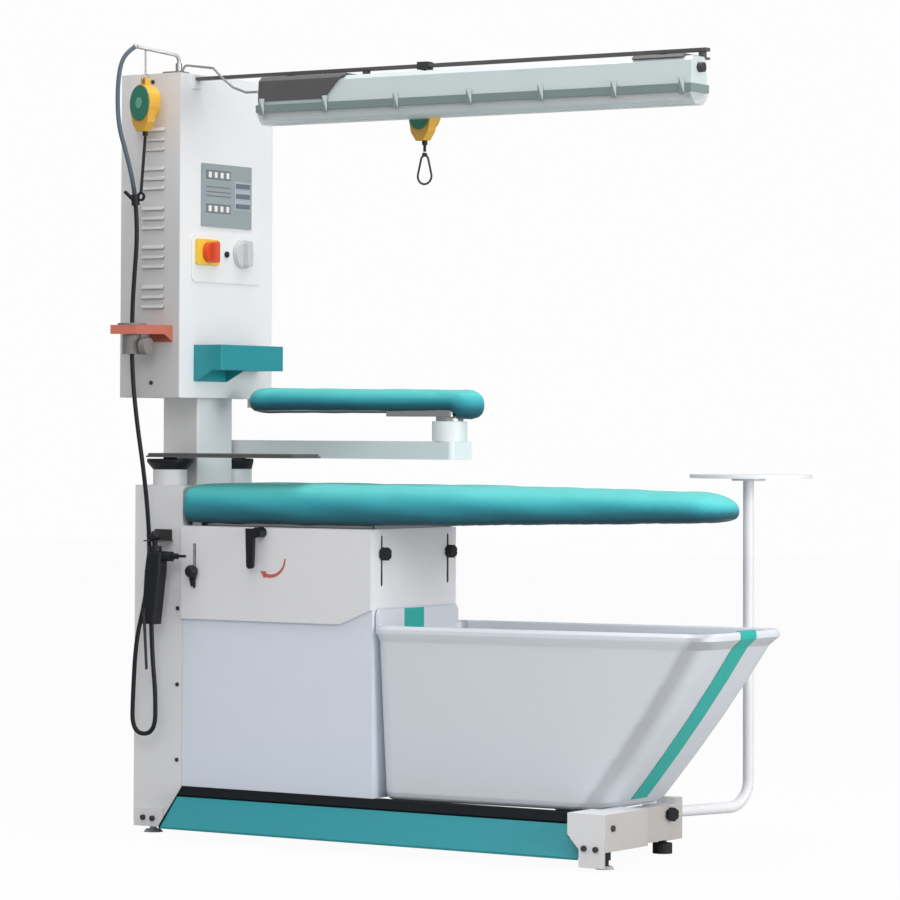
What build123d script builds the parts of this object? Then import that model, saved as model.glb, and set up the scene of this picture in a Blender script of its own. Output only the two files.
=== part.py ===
from build123d import *
import math
import os

# Vacuum ironing table with a heated and aspirated main board, a swinging sleeve board,
# a control column with lamp boom and load balancers, a garment trough and a foot pedal.
# Millimetres, +Z up. Everything is drawn in the machine frame, whose zero is the front left
# corner of the tower on the floor: X runs along the machine, Y to the back. At the end each
# piece is shifted so that the origin is at the centre of the footprint box, on the floor.

# ---------------------------------------------------------------- driving dimensions
SHIFT_X, SHIFT_Y = 783.0, 316.9      # centre of the footprint in the machine frame

SHEET = 2.0                          # sheet metal thickness
TOWER_X, TOWER_Y, TOWER_TOP, TOWER_BOT = 143.0, 377.0, 847.0, 30.0
CAB_X0, CAB_X1 = 143.5, 693.0        # cabinet and board housing
CAB_BOT, CAB_TOP = 120.0, 750.0
HOUSE_BOT = 565.0                    # underside of the board housing
BOARD_X0, BOARD_X1, BOARD_Y0, BOARD_Y1 = 145.5, 1560.0, -20.0, 380.0
BOARD_TOP, BOARD_SKIRT = 847.0, 760.0
BOX_X0, BOX_X1, BOX_Y0, BOX_Y1, BOX_Z0, BOX_Z1 = -29.0, 148.0, -27.0, 369.0, 1060.0, 1850.0
COL_X0, COL_X1, COL_Y0, COL_Y1 = 7.0, 112.0, 103.0, 251.0
REST_PX, REST_PY = 73.5, 43.0        # swivel of the iron rest
ARM_PX, ARM_PY = 66.0, 310.0         # swivel of the sleeve arm
ARM_ANGLE = -8.8                     # the arm's direction at rest, from +X
SLEEVE_PX, SLEEVE_PY = 781.0, 199.0  # swivel of the sleeve board
RAIL_Y, RAIL_Z0, RAIL_Z1 = 38.0, 1834.0, 1842.0
LAMP_X0, LAMP_X1, LAMP_Y, LAMP_Z0, LAMP_Z1 = 414.0, 1585.0, -46.0, 1707.0, 1815.0
TROLLEY_X = 810.0                    # second load balancer on the rail
STAND_START = (1283.0, 396.0, 95.0)  # where the bent stand tube leaves its socket
STAND_POST = (1358.0, 619.0)         # its upright
HOSE_D = 11.0                        # steam hose

os.makedirs("parts", exist_ok=True)


def box(x0, x1, y0, y1, z0, z1):
    return Pos((x0 + x1) / 2, (y0 + y1) / 2, (z0 + z1) / 2) * Box(x1 - x0, y1 - y0, z1 - z0)


def cz(x, y, z0, z1, r):
    return Pos(x, y, (z0 + z1) / 2) * Cylinder(r, z1 - z0)


def cy(x, z, y0, y1, r):
    return Pos(x, (y0 + y1) / 2, z) * Rot(90, 0, 0) * Cylinder(r, y1 - y0)


def cx(y, z, x0, x1, r):
    return Pos((x0 + x1) / 2, y, z) * Rot(0, 90, 0) * Cylinder(r, x1 - x0)


def cone_z(x, y, z0, z1, r0, r1):
    return Pos(x, y, (z0 + z1) / 2) * Cone(r0, r1, z1 - z0)


def prism_z(points, z0, z1):
    face = make_face(Polyline(*[(x, y) for x, y in points], close=True))
    return extrude(Pos(0, 0, z0) * face, z1 - z0)


def prism_y(points, y0, y1):
    # points are (x, z), drawn looking along +Y
    wire = Polyline(*[(x, y0, z) for x, z in points], close=True)
    return extrude(make_face(wire), y1 - y0, dir=(0, 1, 0))


def prism_x(points, x0, x1):
    # points are (y, z)
    wire = Polyline(*[(x0, y, z) for y, z in points], close=True)
    return extrude(make_face(wire), x1 - x0, dir=(1, 0, 0))


def slab(x0, x1, y0, y1, z0, z1, r):
    """An upright-cornered plate with corner radius r in plan."""
    return Pos((x0 + x1) / 2, (y0 + y1) / 2, z0) * extrude(RectangleRounded(x1 - x0, y1 - y0, r), z1 - z0)


def turned(shape, x, y, angle):
    return Pos(x, y, 0) * Rot(0, 0, angle) * Pos(-x, -y, 0) * shape


def out(name, *shapes):
    solids = []
    for s in shapes:
        solids += list(s.solids())
    move = Pos(-SHIFT_X, -SHIFT_Y, 0)
    solids = [move * s for s in solids]
    item = solids[0] if len(solids) == 1 else Compound(children=solids)
    export_step(item, f"parts/{name}.step")
    return item


SLOT_W = 9.0


def slot_x(y, z0, z1):
    return box(CAB_X1 - 6, CAB_X1 + 6, y - SLOT_W / 2, y + SLOT_W / 2, z0 + SLOT_W / 2, z1 - SLOT_W / 2) + cx(y, z0 + SLOT_W / 2, CAB_X1 - 6, CAB_X1 + 6, SLOT_W / 2) + cx(y, z1 - SLOT_W / 2, CAB_X1 - 6, CAB_X1 + 6, SLOT_W / 2)


def slot_y(x, z0, z1, y0, y1):
    return box(x - SLOT_W / 2, x + SLOT_W / 2, y0, y1, z0 + SLOT_W / 2, z1 - SLOT_W / 2) + cy(x, z0 + SLOT_W / 2, y0, y1, SLOT_W / 2) + cy(x, z1 - SLOT_W / 2, y0, y1, SLOT_W / 2)


def board_plan(x0, x1, y0, y1, r, nose_r, taper_x):
    """Plan of the board: square left end with rounded corners, tapering to a round nose."""
    yc = (y0 + y1) / 2
    cxn = x1 - nose_r
    dx, dy = cxn - taper_x, (y1 - yc)
    # tangent from (taper_x, y1) to the nose circle
    dist = math.hypot(dx, dy)
    a = math.atan2(-dy, dx)
    b = math.asin(nose_r / dist)
    ang = a + b
    tlen = math.sqrt(dist * dist - nose_r * nose_r)
    tx, ty = taper_x + tlen * math.cos(ang), y1 + tlen * math.sin(ang)
    with BuildSketch() as sk:
        with BuildLine():
            l1 = Line((x0 + r, y1), (taper_x, y1))
            l2 = Line((taper_x, y1), (tx, ty))
            l3 = ThreePointArc((tx, ty), (x1, yc), (tx, 2 * yc - ty))
            l4 = Line((tx, 2 * yc - ty), (taper_x, y0))
            l5 = Line((taper_x, y0), (x0 + r, y0))
            l6 = ThreePointArc((x0 + r, y0), (x0 + r * (1 - math.sqrt(0.5)), y0 + r * (1 - math.sqrt(0.5))), (x0, y0 + r))
            l7 = Line((x0, y0 + r), (x0, y1 - r))
            l8 = ThreePointArc((x0, y1 - r), (x0 + r * (1 - math.sqrt(0.5)), y1 - r * (1 - math.sqrt(0.5))), (x0 + r, y1))
        make_face()
    return sk.sketch


def knob_x(y, z, x0, x1, r):
    k = cx(y, z, x0, x1, r)
    for i in range(6):
        a = math.radians(i * 60)
        k -= cx(y + (r + 2.2) * math.cos(a), z + (r + 2.2) * math.sin(a), x0 - 1, x1 + 1, 4.2)
    return k


def ring_z(x, y, z0, z1, ro, ri):
    return cz(x, y, z0, z1, ro) - cz(x, y, z0 - 1, z1 + 1, ri)


def pipe(points, radius, ro, ri):
    path = FilletPolyline(*points, radius=radius)
    start = Plane(path @ 0, z_dir=path % 0)
    return sweep(start * Circle(ro), path=path) - sweep(start * Circle(ri), path=path)


# ---------------------------------------------------------------- base frame
sdx, sdy = STAND_POST[0] - STAND_START[0], STAND_POST[1] - STAND_START[1]
slen = math.hypot(sdx, sdy)
sux, suy = sdx / slen, sdy / slen
stand_angle = math.degrees(math.atan2(-sux, suy))       # turn about Z from +Y


def along_stand(shape):
    """Shape drawn along +Y from (0, 0), placed on the stand's axis at the socket."""
    return Pos(*STAND_START) * Rot(0, 0, stand_angle) * shape


base = box(20, 100, 20, 357, 34, 84) - box(23, 97, 10, 367, 37, 81)
base += box(100, 1257, 150, 210, 40, 100) - box(90, 1270, 153, 207, 43, 97)
cross = box(1257, 1300, -40, 396, 36, 116) - box(1260, 1297, -37, 320, 39, 113)
cross += box(1236, 1302, 323, 396, 34, 114) + box(1250, 1302, 366, 396, 114, 130)
cross -= along_stand(cy(0, 0, -84, 10, 13.05))
KNOB_S = -52.0                                          # clamp screw, along the socket axis
cross -= along_stand(Pos(0, KNOB_S, 0) * cx(0, 0, 5, 60, 4.05))
base += cross
# near right foot bracket: a shaped front plate, a top flange and a side plate round the beam's end
brk = prism_y([(1277, 130), (1375, 130), (1375, 80), (1371, 50), (1371, 10), (1306, 10), (1306, 50), (1277, 82)], -93, -87)
brk += box(1277, 1375, -87, 15, 124, 130) + box(1302, 1375, 15, 100, 124, 130) + box(1369, 1375, -87, 100, 46, 124)
brk += box(1277, 1300, -87, -40, 100, 124) + box(1300, 1369, 10, 16, 60, 124) + box(1306, 1369, -60, 16, 46, 52)
base += brk
# left foot plate on the tower's front
lplate = prism_y([(4, 64), (92, 64), (92, 18), (4, 18)], -4, 0) + box(4, 92, 0, 60, 18, 22)
base += box(20, 97, 330, 345, 34, 40)
bear = []
for x in (400, 760, 1170):
    top = 120.0 if x < 700 else 118.0
    bear.append(box(x - 20, x + 20, 70, 320, 100, top) - box(x - 17, x + 17, 60, 330, 98, top - 3))
# brackets that carry the pedal's shaft under the kick plate
PED_Y, PED_Z = 8.0, 104.0
pshaft = cx(PED_Y, PED_Z, 145.5, 1252, 5.0)
out("base_frame", base, lplate, *bear, pshaft)

FEET = ((28, 44, 18.0), (28, 336, 34.0), (1325, -8, 46.0), (1268, 362, 34.0))
feet = []
for fx, fy, top in FEET:
    if fx < 700:
        f = cone_z(fx, fy, 0, 7, 24, 18) + cz(fx, fy, 7, top, 8.5)
    elif fy < 100:
        f = cone_z(fx, fy, 0, 7, 22, 16) + cz(fx, fy, 7, top, 9.0) + cz(fx, fy, 20, 38, 13.5)
    else:
        f = cz(fx, fy, 0, 24, 23) + cz(fx, fy, 24, top, 10)
    feet.append(f)
out("levelling_feet", *feet)

# ---------------------------------------------------------------- hardware: screws, bolts, gun hook
hw = []
for x, z in ((33, 39), (61, 38)):
    hw.append(cy(x, z, -10, -4, 6.5))
for x, z in ((1321, 53), (1351, 52)):
    hw.append(cy(x, z, -99, -93, 6.5))
hw.append(cx(-62, 98, 1375, 1380, 7.0))
SCREWS = ((130, 549), (130, 365), (130, 183))
for x, z in SCREWS:
    hw.append(cy(x, z, -2.5, 0, 5) + cy(x, z, 0, 8, 2.4))
for z in (1096, 1830):
    hw.append(cy(66, z, BOX_Y0 - 2.5, BOX_Y0, 5) + cy(66, z, BOX_Y0, BOX_Y0 + 8, 2.4))
GUN_Y = -52.0
hook = box(62, 112, -5, 0, 711.5, 740) + box(74, 118, -66, -5, 711.5, 714.7)
hook -= box(90.6, 105.4, -70, GUN_Y, 700, 720) + cz(98, GUN_Y, 700, 720, 7.4)
hw.append(hook)
out("bolts_and_gun_hook", *hw)

# ---------------------------------------------------------------- tower and cabinet
tower = box(0, TOWER_X, 0, TOWER_Y, TOWER_BOT, TOWER_TOP)
tower -= box(SHEET, TOWER_X - SHEET, SHEET, TOWER_Y - SHEET, TOWER_BOT - 1, TOWER_TOP - SHEET)
tower -= box(130, 150, SHEET, TOWER_Y - SHEET, 20, 119.5)
tower -= cz(ARM_PX, ARM_PY, 840, 850, 30.5)
tower -= box(COL_X0 + 12, COL_X1 - 12, COL_Y0 + 12, COL_Y1 - 12, 840, 850)
tower -= cz(REST_PX, REST_PY, 840, 850, 12)
tower -= cy(110, 180, 370, 380, 8)
for z in (300, 470):
    tower -= cx(188, z, 140, 150, 40)
for x, z in SCREWS:
    tower -= cy(x, z, -5, 5, 2.4)
tower += cy(110, 180, 377, 392, 12.5) - cy(110, 180, 360, 400, 5.0)   # mains gland at the back
out("tower_shell", tower)

cab = box(CAB_X0, CAB_X1, 2, 374, CAB_BOT, HOUSE_BOT)
cab -= box(CAB_X0 + SHEET, CAB_X1 - SHEET, -5, 374 - SHEET, CAB_BOT + SHEET, HOUSE_BOT + 5)
for z in (300, 470):
    cab -= cx(188, z, 140, 155, 40)
for i in range(5):
    cab -= box(230, 350, 370, 380, 270 + i * 14, 276 + i * 14)          # exhaust grille
out("cabinet_shell", cab)
out("cabinet_front_panel", box(CAB_X0 + 0.5, CAB_X1, 0, 2, CAB_BOT + 1, HOUSE_BOT - 1))

house = box(CAB_X0, CAB_X1, 0, 370, HOUSE_BOT, CAB_TOP)
house -= box(CAB_X0 + SHEET, CAB_X1 - SHEET, SHEET, 370 - SHEET, HOUSE_BOT - 1, CAB_TOP + 1)
SLOT_W = 9.0
SLOT_R = ((41.0, 616.0, 735.0), (333.0, 616.0, 735.0))   # y, low, high on the right face
SLOT_F = (184.0, 599.0, 708.0)                            # x, low, high on the front
for y, z0, z1 in SLOT_R:
    house -= slot_x(y, z0, z1)
house -= slot_y(SLOT_F[0], SLOT_F[1], SLOT_F[2], -5, 5)
LEV_X, LEV_Z = 385.0, 738.0
house -= cy(LEV_X, LEV_Z, -5, 5, 8.06)
out("board_housing", house)

apron = prism_y([(CAB_X0, 748), (CAB_X1, 748), (CAB_X1, 561), (606, 525), (CAB_X0, 525)], -8, 0)
apron -= prism_y([(CAB_X0 - 5, 746), (CAB_X1 - SHEET, 746), (CAB_X1 - SHEET, 562.4), (605.5, 527), (CAB_X0 - 5, 527)], -6, 5)
apron -= slot_y(SLOT_F[0], SLOT_F[1], SLOT_F[2], -12, 5)
apron -= cy(LEV_X, LEV_Z, -12, -5, 10)
apron -= box(LEV_X - 10, LEV_X + 10, -12, -5, LEV_Z, 760)
out("apron_panel", apron)

# ---------------------------------------------------------------- blower, ducts and plenum
BX, BY, BZ = 300.0, 188.0, 300.0
vol = cx(BY, BZ, 250, 330, 120) - cx(BY, BZ, 253, 327, 117)
vol -= cx(BY, BZ, 240, 254, 36.5)
vol -= cx(BY, BZ, 326, 340, 14)
vol -= box(256, 324, BY + 60, BY + 130, BZ - 20, BZ + 40)
motor = cx(BY, BZ, 332, 470, 75) - cx(BY, BZ, 328, 440, 9.97)
motor += cx(BY, BZ, 330, 332, 30) - cx(BY, BZ, 320, 340, 14)
motor += cx(BY, BZ, 380, 384, 79) - cx(BY, BZ, 379, 385, 74) + cx(BY, BZ, 430, 434, 79) - cx(BY, BZ, 429, 435, 74)
seat = box(256, 430, 110, 266, CAB_BOT + SHEET, CAB_BOT + SHEET + 8)
seat += (box(256, 266, 120, 256, 130, 200) - cx(BY, BZ, 240, 280, 120)) + (box(350, 360, 130, 246, 130, 240) - cx(BY, BZ, 340, 370, 75))
duct = cx(BY, BZ, 90, 250, 39.5) - cx(BY, BZ, 85, 255, 36.5)
plen = box(12, 90, 148, 228, 240, 520) - box(15, 87, 151, 225, 243, 517)
plen -= cx(BY, BZ, 80, 95, 36.5) + cx(BY, 470, 80, 95, 36) + cz(51, 188, 510, 530, 23)
duct2 = pipe([(90, 188, 470), (420, 188, 470), (420, 188, 748)], 60, 38, 36)
riser = pipe([(51, 188, 520), (51, 188, 640), (66, 310, 730), (66, 310, 846)], 45, 25, 23)
out("blower_and_ducts", vol + motor, seat, duct, plen, duct2, riser)
hub = cx(BY, BZ, 300, 436, 9.9) + cx(BY, BZ, 309, 313, 108)
ring = cx(BY, BZ, 262, 265, 108) - cx(BY, BZ, 255, 270, 60)
for i in range(12):
    blade = box(264, 310, BY - 1.5, BY + 1.5, BZ + 62, BZ + 105)
    hub += Pos(0, BY, BZ) * Rot(i * 30, 0, 0) * Pos(0, 0, 62) * Rot(28, 0, 0) * Pos(0, -BY, -BZ - 62) * blade
hub += ring
out("impeller", hub)

# ---------------------------------------------------------------- kick plate, pedal, switch, spring
PX0, PX1 = 145.5, 1252.0
kick = prism_x([(1, 120), (-20, 101.5), (-20, 99.2), (1, 117.5)], PX0, PX1)
kick += box(PX0, PX1, 20, 22, 36, 120) + box(PX0, PX1, 1, 22, 117.5, 120)
kick += prism_x([(22, 120), (1, 120), (-93, 33), (-93, 26), (22, 26)], PX0 - 1.5, PX0)
kick += prism_x([(22, 120), (1, 120), (-20, 101), (-20, 92), (-2, 92), (-2, 36), (22, 36)], PX1, PX1 + 1.5)
kick += box(620, 650, 5, 20, 50, 72) + cy(635, 60, 2, 5, 3)
kick -= cx(PED_Y, PED_Z, 140, 1260, 5.0)
out("kick_plate", kick)
ped = prism_x([(-21, 96.5), (-89.5, 30), (-89.5, 25), (-87, 25), (-86, 28.9), (-19.8, 93.5), (-4, 93.5), (-4, 96.5)], PX0 + 1, PX1 - 1)
for x0 in (200, 697, 1196):
    a = prism_x([(-20, 95), (8, 99), (8, 94.5), (-56, 59)], x0, x0 + 6) + cx(PED_Y, PED_Z, x0, x0 + 6, 9)
    ped += a
for x0 in (497, 633):
    w = 6 if x0 == 497 else 4
    ped += prism_x([(-51, 66), (-5, 66), (-5, 54), (-63, 54)], x0, x0 + w)
ped += cy(500, 60, -9, -5, 9)
ped += prism_x([(-49, 69.3), (-89.5, 30), (-89.5, 25), (-87, 25), (-86, 28.9), (-47.5, 66.5)], PX1 - 1, 1301)
ped -= cx(PED_Y, PED_Z, 140, 1260, 5.05)
out("foot_pedal", ped)
helix = Helix(pitch=4.3, height=21.5, radius=7.0)
coil = sweep(Plane(helix @ 0, z_dir=helix % 0) * Circle(1.0), path=helix)
out("pedal_spring", Pos(500, -3.2, 60) * Rot(-90, 0, 0) * coil)

# ---------------------------------------------------------------- main board
T = 850.0   # where the taper starts
BX0, BX1 = BOARD_X0, BOARD_X1


def board_shape(inset, z0, z1):
    return extrude(Pos(0, 0, z0) * board_plan(BX0 + inset, BX1 - inset, BOARD_Y0 + inset, BOARD_Y1 - inset, max(20 - inset, 6), 88 - inset, T), z1 - z0)


def wedge(dz):
    """Everything under the board's sloping underside."""
    return prism_y([(700, 740), (1600, 740), (1600, 782 + dz), (700, 760 + dz)], -20, 400)


pan = (board_shape(15, 764, 819) - wedge(4)) - (board_shape(18, 767, 830) - wedge(7))
pan -= cz(420, 188, 760, 770, 42)
pan += ring_z(420, 188, 700, 767, 45, 42)
pts = []
for i, y in enumerate((68, 112, 156, 214, 258, 302)):
    row = [(200, y), (1140, y)]
    pts += row if i % 2 == 0 else row[::-1]
hpath = FilletPolyline(*[(x, y, 795) for x, y in pts], radius=20)
heat = sweep(Plane(hpath @ 0, z_dir=hpath % 0) * Circle(4.5), path=hpath)
hang = [box(x - 6, x + 6, 62, 308, z, 790.5) - box(x - 10, x + 10, 68, 302, z - 1, 787) for x, z in ((260, 767), (690, 767), (1120, 777.5))]
out("board_pan", pan, heat, *hang)
grid = board_shape(15, 819, 822)
holes = []
for i in range(24):
    for j in range(5):
        x = 205 + i * 52
        holes.append(Pos(x, 190 + (j - 2) * (62 if x < T else 62 - 38 * (x - T) / 650), 820.5) * Cylinder(6, 10))
grid -= Compound(children=holes)
out("board_grid", grid)
pad = board_shape(0, BOARD_SKIRT, BOARD_TOP)
pad = chamfer(pad.faces().sort_by(Axis.Z)[-1].edges(), 16)
pad -= board_shape(13.6, BOARD_SKIRT - 5, 822.4) + wedge(0)
out("board_cover", pad)

lift = box(165, 680, 20, 350, 750.4, 763.6) - box(205, 640, 60, 310, 745, 770)
lift += box(684, 689, 20, 354, 640, 763.4) + box(675, 689, 20, 350, 757, 763.4)
lift -= box(680, 695, 75, 300, 630, 745)
lift += box(171, 196, 4, 8, 610, 759.8) + box(171, 196, 4, 24, 757, 759.8)
lift += box(150, 154, 30, 340, 640, 759.8) + box(150, 170, 30, 340, 757, 759.8)
lift -= box(148, 156, 80, 290, 630, 745)
KNOB_FX, KNOB_FZ, KNOB_RZ = 184.0, 640.0, 692.0
lift += cy(KNOB_FX, KNOB_FZ, -20, 6, 3.5)
for y in (41.0, 333.0):
    lift += cx(y, KNOB_RZ, 686, 706, 3.5)
out("board_lift_frame", lift)

kf = Pos(KNOB_FX, -20, KNOB_FZ) * Sphere(16) & box(150, 220, -33, -9.5, 600, 680)
kf += cy(KNOB_FX, KNOB_FZ, -12, -8.6, 9) + prism_y([(KNOB_FX - 9, KNOB_FZ - 10), (KNOB_FX + 9, KNOB_FZ - 10), (KNOB_FX + 2, KNOB_FZ - 36), (KNOB_FX - 2, KNOB_FZ - 36)], -19, -10)
kf -= cy(KNOB_FX, KNOB_FZ, -20.5, -5, 3.55)
out("clamp_knob_front", kf)
for name, y in (("clamp_knob_right_near", 41.0), ("clamp_knob_right_far", 333.0)):
    k = knob_x(y, KNOB_RZ, 695.5, 711, 15.5) + cx(y, KNOB_RZ, 693.6, 695.5, 9)
    k -= cx(y, KNOB_RZ, 690, 706.5, 3.55)
    out(name, k)

# lock lever, its shaft and the finger inside the housing
lev = cy(LEV_X, LEV_Z, -36, -9, 12.5) + cy(LEV_X, LEV_Z, -9, 34, 8.0)
lev += prism_y([(355, 747), (379, 747), (376, 660), (358, 660)], -38, -28) + box(370, LEV_X, -38, -28, LEV_Z - 9, LEV_Z + 9)
lev += cy(367, 660, -38, -28, 9)
lev += prism_y([(LEV_X - 9, LEV_Z), (LEV_X + 9, LEV_Z), (LEV_X + 4, LEV_Z - 34), (LEV_X - 4, LEV_Z - 34)], 22, 32)
out("lock_lever", lev)

# ---------------------------------------------------------------- garment trough
RIM_Z, TR_BOT = 525.0, 118.0
TX0 = 697.0


def end_x(z):
    """Outer face of the slanted right end."""
    k = (z - TR_BOT) / (RIM_Z - TR_BOT)
    return 1286 + 0.735 * (z - TR_BOT) + 3.5 * k + 44 * k * (1 - k)


def trough_section(z, ins, wall, dx=None):
    k = (z - TR_BOT) / (RIM_Z - TR_BOT)
    x0, x1 = 706.5 - 5.5 * k + ins * 0.7 + wall, end_x(z) + (-ins * 0.6 if dx is None else dx) - wall
    y0, y1 = 22 - 22 * k + ins + wall, 362 + 20 * k - ins - wall
    sk = make_face(Polyline((x0, y0), (x1, y0), (x1, y1), (x0, y1), close=True))
    sk = fillet(sk.vertices().sort_by(Axis.X)[:2], 34 - wall)
    sk = fillet(sk.vertices().sort_by(Axis.X)[-2:], 62 - wall)
    return Pos(0, 0, z) * sk


outer = [(118, 12, None), (121, 6, None), (126, 2, None), (136, 0, None), (168, 0, None), (240, 0, None), (325, 0, None), (410, 0, None), (488, 0, None), (500, -4, 6.0), (508, -6, 9.5), (517, -5, 4.6), (525, 3, -3.0)]
inner = [(126, 14), (129, 7), (135, 3), (146, 0), (176, 0), (248, 0), (333, 0), (418, 0), (510, 0), (521, -1), (526, -4)]
outer_body = loft([trough_section(z, ins, 0, dx) for z, ins, dx in outer], ruled=True)
inner_body = loft([trough_section(z, ins, 8.0) for z, ins in inner], ruled=True)
TILT = Pos(700, 0, TR_BOT) * Rot(0, -0.5, 0) * Pos(-700, 0, -TR_BOT)      # the rim rises a little to the right
trough = TILT * (outer_body - inner_body)
wall_l = box(697.3, 705.5, 9, 362, 505, 563)
wall_l = fillet(wall_l.edges().filter_by(Axis.X).sort_by(Axis.Z)[-2:], 16)
trough += wall_l
out("garment_trough", trough)
# the stripe follows the slanted end, turns over the rim and ends inside; its other end is on the raised wall
sp = []
for z, dx in ((137, 0), (168, 0), (240, 0), (325, 0), (410, 0), (488, 0), (500, 6.0), (508, 9.5), (517, 4.6)):
    sp.append((end_x(z) + dx, z))
o1, o2 = 0.7, 2.3
low = [(x + o1, z) for x, z in sp] + [(end_x(525) - 3.0 + o1, 525 + o1), (end_x(525) - 12, 525 + o1)]
high = [(end_x(525) - 12, 525 + o2), (end_x(525) - 3.0 + o2, 525 + o2)] + [(x + o2, z) for x, z in reversed(sp)]
out("trough_stripe", TILT * prism_y(low + high, 150, 222), box(705.5, 707.1, 121, 205, 515, 562))

# ---------------------------------------------------------------- column, swivel posts, control box
colm = box(COL_X0, COL_X1, COL_Y0, COL_Y1, TOWER_TOP, BOX_Z0) - box(COL_X0 + 3, COL_X1 - 3, COL_Y0 + 3, COL_Y1 - 3, TOWER_TOP - 1, BOX_Z0 + 1)
colm = fillet(colm.edges().filter_by(Axis.Z).filter_by(lambda e: min(abs(e.center().X - COL_X0), abs(e.center().X - COL_X1)) < 0.1), 4)
posts = [ring_z(REST_PX, REST_PY, TOWER_TOP, 885, 42, 20), ring_z(ARM_PX, ARM_PY, TOWER_TOP, 885, 53, 32)]
out("column", colm, *posts)
bushes = []
for (x, y, r, rmax) in ((REST_PX, REST_PY, 10.05, 19.9), (ARM_PX, ARM_PY, 28.05, 31.9)):
    b = cone_z(x, y, 885, 903, 42 if y < 100 else 53, 57) + cz(x, y, 903, 911, 57) + cz(x, y, 850, 885, rmax)
    b -= cz(x, y, 840, 920, r)
    bushes.append(b)
GX, GY = 46.0, -80.0
gb = ring_z(GX, GY, 1165, 1212.8, 23, 8.6) + ring_z(GX, GY, 1235.2, 1240, 35, 8.6) + ring_z(GX, GY, 1212, 1236, 12.8, 8.6)
bushes.append(gb)
out("pivot_and_guide_bushes", *bushes)

shell = box(BOX_X0, BOX_X1, BOX_Y0 + 2, BOX_Y1, BOX_Z0, BOX_Z1)
shell -= box(BOX_X0 + SHEET, BOX_X1 - SHEET, BOX_Y0 - 5, BOX_Y1 - SHEET, BOX_Z0 + SHEET, BOX_Z1 - SHEET)
shell -= box(COL_X0 + 15, COL_X1 - 15, COL_Y0 + 15, COL_Y1 - 15, BOX_Z0 - 3, BOX_Z0 + 3)
MS_Y, MS_Z = 80.0, 1416.0           # main switch
SEL_Y, SEL_Z = 228.0, 1417.0        # selector
LED_Y, LED_Z = 165.0, 1414.0        # pilot lamp
shell -= cx(MS_Y, MS_Z, 140, 150, 8) + cx(SEL_Y, SEL_Z, 140, 150, 6) + cx(LED_Y, LED_Z, 140, 150, 6)
shell -= box(140, 150, 75, 266, 1490, 1624)
shell += box(95, 140, 340, 400, BOX_Z0 - 22, BOX_Z0) - box(98, 137, 343, 397, BOX_Z0 - 30, BOX_Z0 - 3)
out("control_box_shell", shell)

cover = box(BOX_X0, BOX_X1, BOX_Y0, BOX_Y0 + 2, BOX_Z0, BOX_Z1)
for base_z in (1715, 1620, 1523, 1428.5, 1331):
    for k in range(3):
        z = base_z - 23.5 * k
        cover -= box(39, 101, BOX_Y0 - 1, BOX_Y0 + 3, z - 7, z - 1)
        cover += prism_x([(BOX_Y0, z + 3), (BOX_Y0 - 6, z - 4), (BOX_Y0 - 6, z - 7), (BOX_Y0 - 4.6, z - 7), (BOX_Y0 - 4.6, z - 4.5), (BOX_Y0, z + 0.6)], 37, 103)
for z in (1096, 1830):
    cover -= cy(66, z, -30, -20, 2.4)
out("box_front_cover", cover)

disp = box(BOX_X1, BOX_X1 + 4, 61, 272, 1480, 1635)
disp = fillet(disp.edges().filter_by(Axis.X), 3)
BTN = (1585.5, 1560.5, 1535.5)
for z in BTN:
    disp -= box(BOX_X1 - 1, BOX_X1 + 5, 204, 262, z - 6, z + 6)
for z0 in (1597, 1514):
    disp -= box(BOX_X1 + 2, BOX_X1 + 5, 77, 182, z0, z0 + 22)
out("display_panel", disp)
led = cx(LED_Y, LED_Z, BOX_X1 + 3, BOX_X1 + 8, 7.5) + cx(LED_Y, LED_Z, BOX_X1 - 10, BOX_X1 + 3, 5.9)
out("readouts_and_pilot", *[box(BOX_X1 + 2, BOX_X1 + 4.3, 78, 181, z0 + 1, z0 + 21) for z0 in (1597, 1514)], led)
for i, z in enumerate(BTN):
    out(f"display_button_{i + 1}", box(BOX_X1 - 2, BOX_X1 + 6.5, 204.4, 261.6, z - 5.6, z + 5.6))

SP = BOX_X1 + 3
swp = Pos(BOX_X1, (20 + 312) / 2, (1343 + 1461) / 2) * Rot(0, 90, 0) * extrude(RectangleRounded(118, 292, 18), 3)
swp -= cx(MS_Y, MS_Z, 140, 155, 8) + cx(SEL_Y, SEL_Z, 140, 155, 6) + cx(LED_Y, LED_Z, 140, 155, 6)
out("switch_plate", swp)
yel = box(SP, SP + 7, 34, 126, 1385, 1448)
yel = fillet(yel.edges().filter_by(Axis.X), 6) - cx(MS_Y, MS_Z, SP - 1, SP + 10, 7.05)
out("main_switch_plate", yel)
red = cx(MS_Y, MS_Z, SP + 7.4, SP + 20, 25)
grip = box(SP + 20, SP + 36, MS_Y - 9, MS_Y + 9, MS_Z - 26, MS_Z + 26)
red += fillet(grip.edges().filter_by(Axis.X), 6)
red += cx(MS_Y, MS_Z, SP - 18, SP + 7.4, 7.0)
out("main_switch_handle", red)
sel = cx(SEL_Y, SEL_Z, SP + 0.5, SP + 14, 35)
grip = box(SP + 14, SP + 30, SEL_Y - 10, SEL_Y + 10, SEL_Z - 32, SEL_Z + 32)
sel += fillet(grip.edges().filter_by(Axis.X), 7)
sel += cx(SEL_Y, SEL_Z, SP - 18, SP + 0.5, 5.0)
out("selector_knob", sel)
g1 = box(BOX_X1 - 70, BOX_X1 - 2, MS_Y - 30, MS_Y + 30, MS_Z - 35, MS_Z + 35) - cx(MS_Y, MS_Z, 120, 150, 7.05)
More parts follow.
